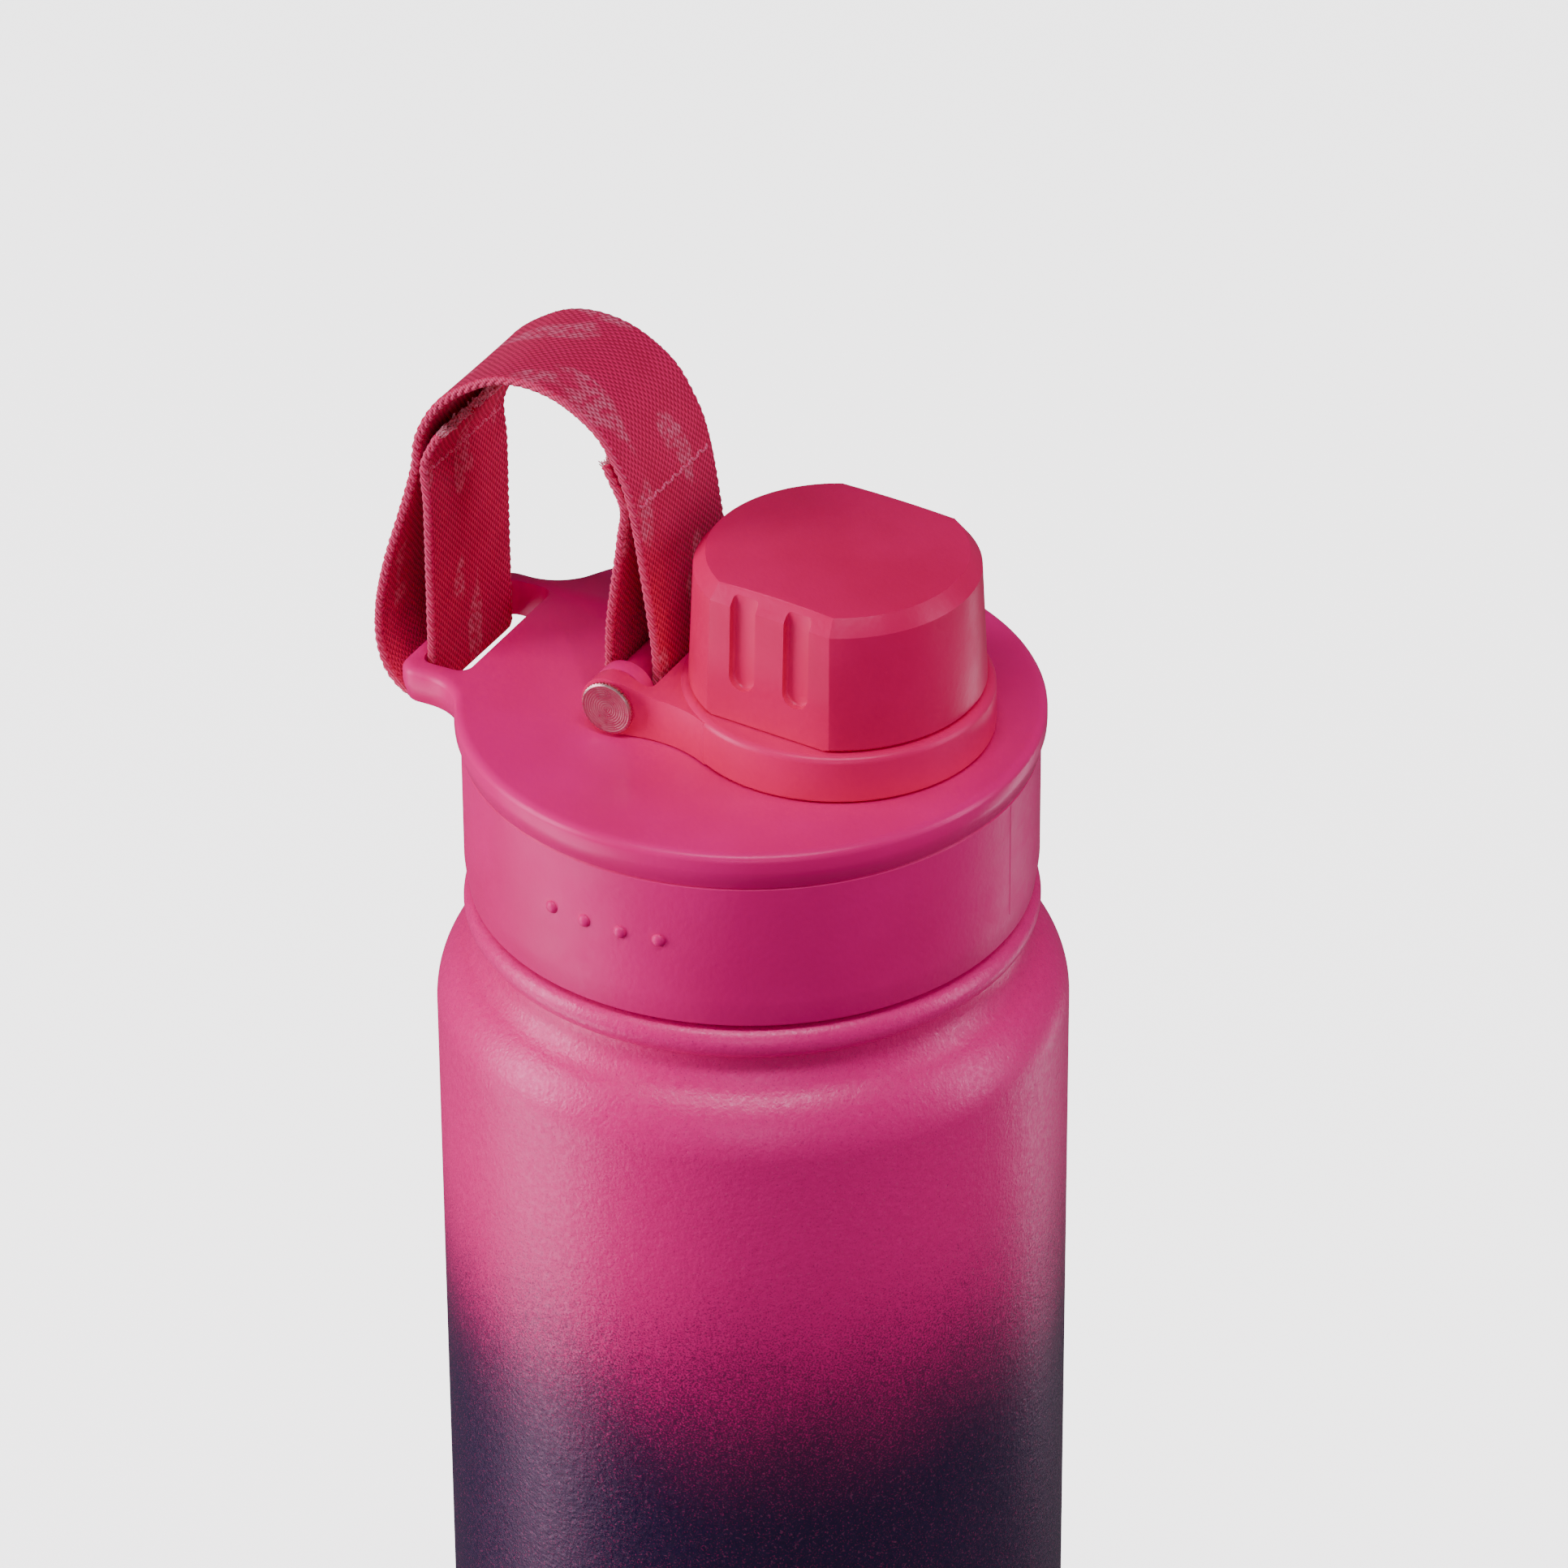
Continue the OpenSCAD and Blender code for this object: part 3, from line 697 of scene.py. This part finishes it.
def tether_plan():
    """Outline of the arms and web in plan; their waist runs into the ring."""
    cut_r, waist = 14.0, 13.5
    cut_y = waist + cut_r
    cut_x = CAP_X - sqrt((RING_R + cut_r) ** 2 - cut_y**2)
    join = degrees(atan2(-cut_y, CAP_X - cut_x))
    start = degrees(atan2(LUG[1] - cut_y, HINGE.x + 0.6 - cut_x))
    side = [(HINGE.x - 3.6, LUG[1])] + arc(cut_x, cut_y, cut_r, start + 360, join + 360, 20)
    path = side + [(CAP_X, 15.0)]
    notch_x, notch_r = -6.2, 1.2
    notch = [(HINGE.x - 3.6, LUG[0])] + arc(notch_x - notch_r, LUG[0] - notch_r, notch_r, 90, 0, 5)
    return path + [(x, -y) for x, y in path[::-1]] + [(x, -y) for x, y in notch] + notch[::-1]


def arm_profile():
    """Side view of an arm: round at the pin, dipping to the ring's height."""
    top = arc(HINGE.x, HINGE.z, LUG_R, -90, -300, 28)
    dip_z = 35.6
    start = HINGE.x + LUG_R * cos(radians(60))
    dip = [(start + 0.9, 36.35), (start + 1.8, 35.95), (start + 2.9, 35.7), (start + 4.3, dip_z)]
    return top + dip + [(CAP_X, dip_z), (CAP_X, RING_Z[0])]


def make_tether(finish):
    """Ring round the cap, with two arms to the pin."""
    low, high = RING_Z
    edge = 0.9
    lip_r, seat_r, step = 13.1, 14.6, 34.2
    ring = [(lip_r, high), (lip_r, step), (seat_r, step), (seat_r, low), (RING_R - 0.4, low)]
    ring += arc(RING_R - 0.4, low + 0.4, 0.4, -90, 0, 4)
    ring += arc(RING_R - edge, high - edge, edge, 0, 90, 8)
    side = moved(slab(arm_profile(), -20, 20), Matrix.Rotation(pi / 2, 4, "X"))
    arms = combine(slab(tether_plan(), 29, 39), ("INTERSECT", side))
    arms = rounded(arms, 0.5, 3, 35)
    bm = combine(
        arms,
        ("UNION", lathe(ring, 160, CAP_X)),
        ("DIFFERENCE", moved(rod(seat_r, 20, step, 128), CAP_AXIS)),
        ("DIFFERENCE", moved(rod(lip_r, 20, 40, 128), CAP_AXIS)),
        ("DIFFERENCE", moved(rod(PIN_R, -20, 20), HINGE_AXIS)),
    )
    piece = place_piece(bm, "tether_ring", "tether", finish)
    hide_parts("tether")


def make_cap(finish):
    """Drafted cap with two flats, a chamfered crown and finger grooves in the flats."""
    low, shoulder, rim, top = 36.2, 50.5, 52.3, 53.2
    lean = radians(2.6)
    draft = tan(lean)
    rise = shoulder - low
    side_r, flat = 16.8, 14.8
    outer = [(0, low), (side_r - 0.3, low), (side_r, low + 0.3), (side_r - rise * draft, shoulder)]
    crown = side_r - rise * draft - 1.4
    outer += [(crown, rim)]
    outer += [(crown * (1 - i / 8), rim + (top - rim) * sin(pi * i / 16)) for i in range(1, 9)]
    solid = lathe(outer, 192)
    inner = flat - rise * draft
    gable = [(flat, low - 1), (inner, shoulder), (inner - 1.4, rim), (inner - 2.4, rim + 3)]
    wedge = slab(gable + [(-x, z) for x, z in gable[::-1]], -20, 20)
    wedge = moved(wedge, Matrix(((0, 0, 1, 0), (1, 0, 0, 0), (0, 1, 0, 0), (0, 0, 0, 1))))
    body = rounded(combine(solid, ("INTERSECT", wedge)), 0.42, 4, 14)
    cuts = [("DIFFERENCE", rod(12.85, low - 1, 44.7, 96))]
    groove_r, groove_z, depth = 1.65, 40.3, 0.9
    for turn in (0, pi):
        for shift in (-3.5, 3.5):
            place = (
                Matrix.Rotation(turn, 4, "Z") @ Matrix.Translation((shift, -flat, low))
                @ Matrix.Rotation(pi / 2 - lean, 4, "X")
                @ Matrix.Translation((0, groove_z - low + groove_r, -depth))
            )
            stadium = arc(0, 0, groove_r, 180, 360, 20) + [(groove_r, 16), (-groove_r, 16)]
            cuts.append(("DIFFERENCE", moved(rounded(slab(stadium, 0, 4), 0.45, 3, 60), place)))
    bm = rounded(combine(body, *cuts), 0.16, 2, 50)
    moved(bm, CAP_AXIS @ Matrix.Rotation(radians(-4.7), 4, "Z"))
    piece = place_piece(bm, "cap_knob", "cap", finish, 28)
    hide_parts("cap_shell")


# Carry loop ------------------------------------------------------------------------------------

LEFT_SIDE = [
    (-34.8, 59.1), (-35.9, 57), (-36.6, 54.4), (-36.5, 49), (-36.5, 43), (-36.5, 37), (-36.5, 31),
    (-36.5, 27.6), (-36.5, 25.6), (-36.9, 24.6), (-37.8, 24.1), (-39.2, 24.2), (-40.9, 25.1),
    (-42.4, 26.9), (-43.3, 29.9), (-43.4, 33.5), (-42.7, 38), (-41.5, 42.6), (-39.9, 47.5),
    (-38.7, 51.5),
]
ARCH = [
    (-38.1, 54.6), (-37.5, 57.8), (-36, 61.2), (-33.9, 64), (-31.2, 66.2), (-27.6, 68.2),
    (-23.9, 68.9), (-20, 68.4), (-16.6, 66.8), (-13.9, 64.6), (-12, 61.6), (-10.7, 58.8),
]
RIGHT_SIDE = [(-9.8, 56), (-9.4, 53), (-8.9, 49.6), (-8.3, 45.6), (-7.7, 41.5), (-7.3, 37.5)]
RIGHT_TAIL = [
    (-13.3, 37.5), (-13.1, 41), (-12.6, 45), (-12, 49), (-11.5, 52.6), (-11.3, 56), (-12.2, 58.7),
    (-13.5, 61.2),
]
# Middle of each stitched row, and the lean of the two layers there
LEFT_ROW = (Vector((-37.35, 54.5)), radians(-10))
RIGHT_ROW = (Vector((-10.55, 56.0)), radians(12))


def smooth_path(points, n):
    """Smooth curve through the points, with n steps between each pair."""
    p = [Vector(q) for q in points]
    curve = []
    for i in range(len(p) - 1):
        a, b, c, d = p[max(i - 1, 0)], p[i], p[i + 1], p[min(i + 2, len(p) - 1)]
        for j in range(n):
            t = j / n
            bend = (2 * a - 5 * b + 4 * c - d) * t * t + (3 * b - a - 3 * c + d) * t**3
            curve.append(0.5 * (2 * b + (c - a) * t + bend))
    return curve + [p[-1]]


def pinched(point):
    """Draw the two layers together where a row of stitches holds them."""
    draw, reach, gap = 0.2, 4.0, 1.6
    for row, lean in (LEFT_ROW, RIGHT_ROW):
        off = (point - row).dot(Vector((cos(lean), sin(lean))))
        near = 1 - abs((point - row).dot(Vector((-sin(lean), cos(lean))))) / reach
        if near > 0 and abs(off) < gap:
            pull = draw * near * near * (3 - 2 * near) * (1 if off > 0 else -1)
            point = point - pull * Vector((cos(lean), sin(lean)))
    return point


def strap_curve():
    """Centre line in X and Z of the whole webbing, as evenly spaced points, and their spacing."""
    wrap = arc(HINGE.x, HINGE.z, 3.0, 0, -180, 8)
    curve = smooth_path(LEFT_SIDE + ARCH + RIGHT_SIDE + wrap + RIGHT_TAIL, 12)
    spacing, even, walked = 0.36, [curve[0]], 0.0
    for a, b in zip(curve, curve[1:]):
        step = (b - a).length
        while walked + step >= spacing:
            a = a + (b - a) * ((spacing - walked) / step)
            step = (b - a).length
            even.append(a)
            walked = 0.0
        walked += step
    return [pinched(point) for point in even], spacing


def lifted(curve, i, lift, y):
    """Point at a place across the webbing, this far above the centre line's point i."""
    tangent = (curve[min(i + 1, len(curve) - 1)] - curve[max(i - 1, 0)]).normalized()
    return Vector((curve[i].x - tangent.y * lift, y, curve[i].y + tangent.x * lift))


def make_webbing(finish, thread_finish, fuzz_finish):
    """Ribbon along the loop, with slightly uneven edges, its selvage cords and its cut ends."""
    curve, spacing = strap_curve()
    columns, last = 26, len(curve) - 1
    braid_pitch, braid_out, braid_up, sway = 1.25, 0.14, 0.05, 0.05
    bm = bmesh.new()
    layer = bm.loops.layers.uv.new("cloth")
    bmesh.ops.create_grid(bm, x_segments=columns, y_segments=last, size=1)
    places = {vert: ((vert.co.x + 1) / 2, round((vert.co.y + 1) / 2 * last)) for vert in bm.verts}
    for face in bm.faces:
        for loop in face.loops:
            u, row = places[loop.vert]
            loop[layer].uv = (u * STRAP_W * MM, row * spacing * MM)
    for vert, (u, row) in places.items():
        along = row * spacing
        selvage = max(0.0, (abs(2 * u - 1) - 0.9) / 0.1)
        side, phase = (1, 1.7) if u >= 0.5 else (-1, 0)
        braid = selvage * sin(2 * pi * along / braid_pitch + phase)
        y = (u - 0.5) * (STRAP_W - 0.3) + braid_out * braid * side
        lift = braid_up * braid * cos(pi * u) + sway * sin(along / 9.0 + 3 * u)
        vert.co = lifted(curve, row, lift, y)
    piece = place_piece(outward(bm), "webbing_loop", "lid", finish, 60)
    thick = piece.modifiers.new("thickness", "SOLIDIFY")
    thick.thickness = (STRAP_T - 0.12) * MM
    thick.offset = 0
    soft = piece.modifiers.new("soft_edge", "BEVEL")
    soft.width = 0.28 * MM
    soft.segments = 2
    soft.limit_method = "ANGLE"
    soft.angle_limit = radians(50)
    bake(piece)
    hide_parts("strap_webbing")
    crush(piece)
    make_selvage(curve, spacing, thread_finish)
    make_fuzz(curve, fuzz_finish)


def bake(piece):
    """Apply a piece's modifiers to its mesh."""
    bpy.context.view_layer.update()
    evaluated = piece.evaluated_get(bpy.context.evaluated_depsgraph_get())
    piece.data = bpy.data.meshes.new_from_object(evaluated)
    piece.modifiers.clear()


def crush(piece):
    """Give the piece a mesh of its own, not shared with other objects."""
    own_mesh(piece)


def tube_along(bm, points, radius, sides=6):
    """Round strand through 3-D points."""
    rings = []
    for i, point in enumerate(points):
        ahead = (points[min(i + 1, len(points) - 1)] - points[max(i - 1, 0)]).normalized()
        side = ahead.cross(Vector((0.31, 0.17, 0.93))).normalized()
        other = ahead.cross(side)
        turns = [2 * pi * j / sides for j in range(sides)]
        ring = [point + radius * (cos(turn) * side + sin(turn) * other) for turn in turns]
        rings.append(outline(bm, ring)[1])
    bridged(bm, rings)


def make_selvage(curve, spacing, finish):
    """Cord-like edges where the weft turns back, each of two strands twisted together."""
    pitch, inset, radius, twist_up, twist_out = 2.3, 0.22, 0.3, 0.26, 0.12
    bm = bmesh.new()
    for side in (-1, 1):
        for phase in (0, pi):
            points = []
            for i in range(len(curve)):
                turn = 2 * pi * i * spacing / pitch + phase
                y = side * (STRAP_W / 2 - inset + twist_out * cos(turn))
                points.append(lifted(curve, i, twist_up * sin(turn), y))
            tube_along(bm, points, radius, 5)
    piece = place_piece(outward(bm), "webbing_selvage", "lid", finish, 80)
    crush(piece)


def make_fuzz(curve, finish):
    """Fibres that stand out of the two heat-cut ends."""
    rng = random.Random(7)
    fibres, radius = 320, 0.085
    bm = bmesh.new()
    for end, inner in ((curve[0], curve[3]), (curve[-1], curve[-4])):
        out = (end - inner).normalized()
        for _ in range(fibres):
            y = rng.uniform(-0.5, 0.5) * (STRAP_W - 0.6)
            depth = rng.uniform(-0.5, 0.5)
            base = Vector((end.x - out.y * depth, y, end.y + out.x * depth))
            lean = Vector((rng.uniform(-0.5, 0.5), rng.uniform(-0.6, 0.6), rng.uniform(-0.3, 0.3)))
            tip = base + (Vector((out.x, 0, out.y)) + lean) * rng.uniform(0.3, 0.85)
            root = base - Vector((out.x, 0, out.y)) * 0.3
            tube_along(bm, [root, base, tip], radius, 3)
    piece = place_piece(outward(bm), "cut_end_fibres", "lid", finish, 80)
    crush(piece)


def make_stitches(name, row, node, finish):
    """Zig-zag lock stitch through both layers, seen on both outer faces."""
    bm = bmesh.new()
    place, lean = row
    half, pitch, thick, sway, sink = 8.1, 1.0, 1.13, 0.3, 0.34
    normal = Vector((cos(lean), 0, sin(lean)))
    upward = Vector((-sin(lean), 0, cos(lean)))
    middle = Vector((place.x, 0, place.y))
    count = int(2 * half / pitch)
    for face in (-1, 1):
        points = []
        for i in range(count * 6 + 1):
            t = i / 6
            y = -half + t * pitch
            swing = sway * (1 if int(t) % 2 else -1) * (1 - 2 * (t % 1))
            dive = sink * abs(cos(pi * t)) ** 6
            points.append(middle + face * normal * (thick - dive) - upward * swing + Vector((0, y, 0)))
        tube_along(bm, points, 0.2, 6)
    piece = place_piece(outward(bm), name, "lid", finish, 80)
    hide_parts(node)
    crush(piece)


# Whisk ball ------------------------------------------------------------------------------------


def make_whisk(finish):
    """Round wire wound from pole to pole, in place of the faceted one."""
    low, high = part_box("whisk_ball")
    middle = (Vector(low) + Vector(high)) / 2 / MM - Vector((0, 0, NECK_Z))
    wind_r, winds, steps, pole_gap = 22.2, 7, 560, 14
    points = []
    for i in range(steps + 1):
        t = i / steps
        polar, turn = radians(pole_gap + (180 - 2 * pole_gap) * t), 2 * pi * winds * t
        spoke = Vector((sin(polar) * cos(turn), sin(polar) * sin(turn), cos(polar)))
        points.append(middle + wind_r * spoke)
    bm = bmesh.new()
    tube_along(bm, points, 0.8, 10)
    piece = place_piece(outward(bm), "wire_ball", "whisk", finish, 60)
    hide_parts("whisk_ball")


# Build -----------------------------------------------------------------------------------------

make_camera()
make_studio()

steel = brushed_steel()
lid_pink = moulded("lid_plastic", rgb("F00082"), rgb("FA008E"), 0.33)
skirt_pink = moulded("skirt_plastic", rgb("EC0082"), rgb("F8008C"), 0.42, 0.00006, 0.0007)
core_pink = moulded("core_plastic", rgb("C40459"), rgb("D00C62"), 0.4)
tether_pink = moulded("tether_plastic", rgb("EC006A"), rgb("F80076"), 0.36)
cap_pink = moulded("cap_plastic", rgb("E0005E"), rgb("EE006A"), 0.34, 0.00004, 0.0006)
pale_silicone = silicone()
strap_cloth = webbing()
edge_yarn = yarn("selvage_yarn", rgb("C80A50"), rgb("F03A80"))
row_yarn = yarn("stitch_yarn", rgb("D82A6C"), rgb("F4649C"))
end_yarn = yarn("cut_end_yarn", rgb("F08CAA"), rgb("F8B4C6"))

CARRIED_OVER = {
    "inner_liner": steel,
    "base_plate": steel,
    "vacuum_seal": steel,
    "lid_core": core_pink,
    "lid_gasket": pale_silicone,
    "strap_barrel": core_pink,
    "cap_liner": core_pink,
    "cap_gasket": pale_silicone,
}
for node_name, finish in CARRIED_OVER.items():
    node_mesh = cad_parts[node_name].data
    node_mesh.materials.clear()
    node_mesh.materials.append(finish)

make_shell(powder_coat())
make_skirt(skirt_pink)
make_lid_top(lid_pink)
make_pin(turned_steel_painted_reflection())
make_tether(tether_pink)
make_cap(cap_pink)
make_webbing(strap_cloth, edge_yarn, end_yarn)
make_stitches("left_stitches", LEFT_ROW, "stitch_left", row_yarn)
make_stitches("right_stitches", RIGHT_ROW, "stitch_right", row_yarn)
make_whisk(wire_steel())

make_floor()
